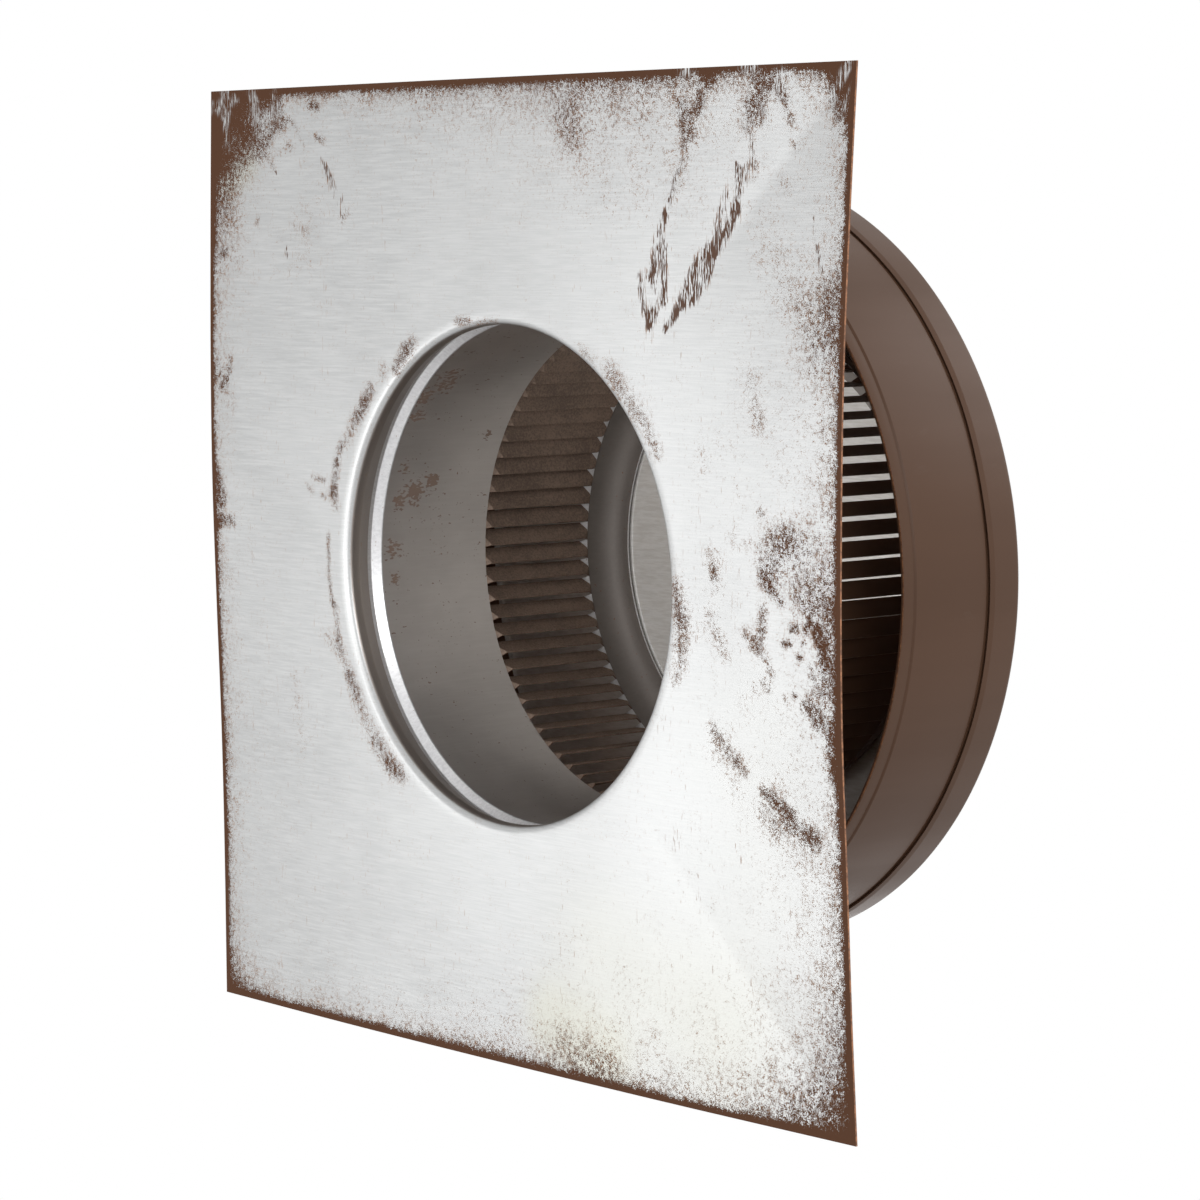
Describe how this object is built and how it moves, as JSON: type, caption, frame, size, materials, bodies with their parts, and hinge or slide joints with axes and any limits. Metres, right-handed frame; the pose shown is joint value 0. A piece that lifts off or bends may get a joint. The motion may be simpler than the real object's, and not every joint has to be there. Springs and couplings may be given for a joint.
{
  "type": "roof vent",
  "caption": "Round static roof vent: a square flashing sheet with a louvred throat under a deep round cap with a hanging skirt.",
  "frame": {"origin": "centre of the square flashing's underside", "axes": "+Z up the throat's axis to the cap; +X and +Y square to the flashing's edges, +X up and +Y right in the picture"},
  "size_m": [0.394, 0.394, 0.1556],
  "materials": {
    "mill_aluminium": "mill finish with brown overspray",
    "grey_aluminium": "satin, brown overspray on the blades",
    "brown_paint": "satin dark brown paint"
  },
  "bodies": {
    "root": {"base_flange": "mill_aluminium", "throat_tube": "grey_aluminium", "cap_skirt": "brown_paint", "cap_lid": "brown_paint"}
  },
  "joints": []
}
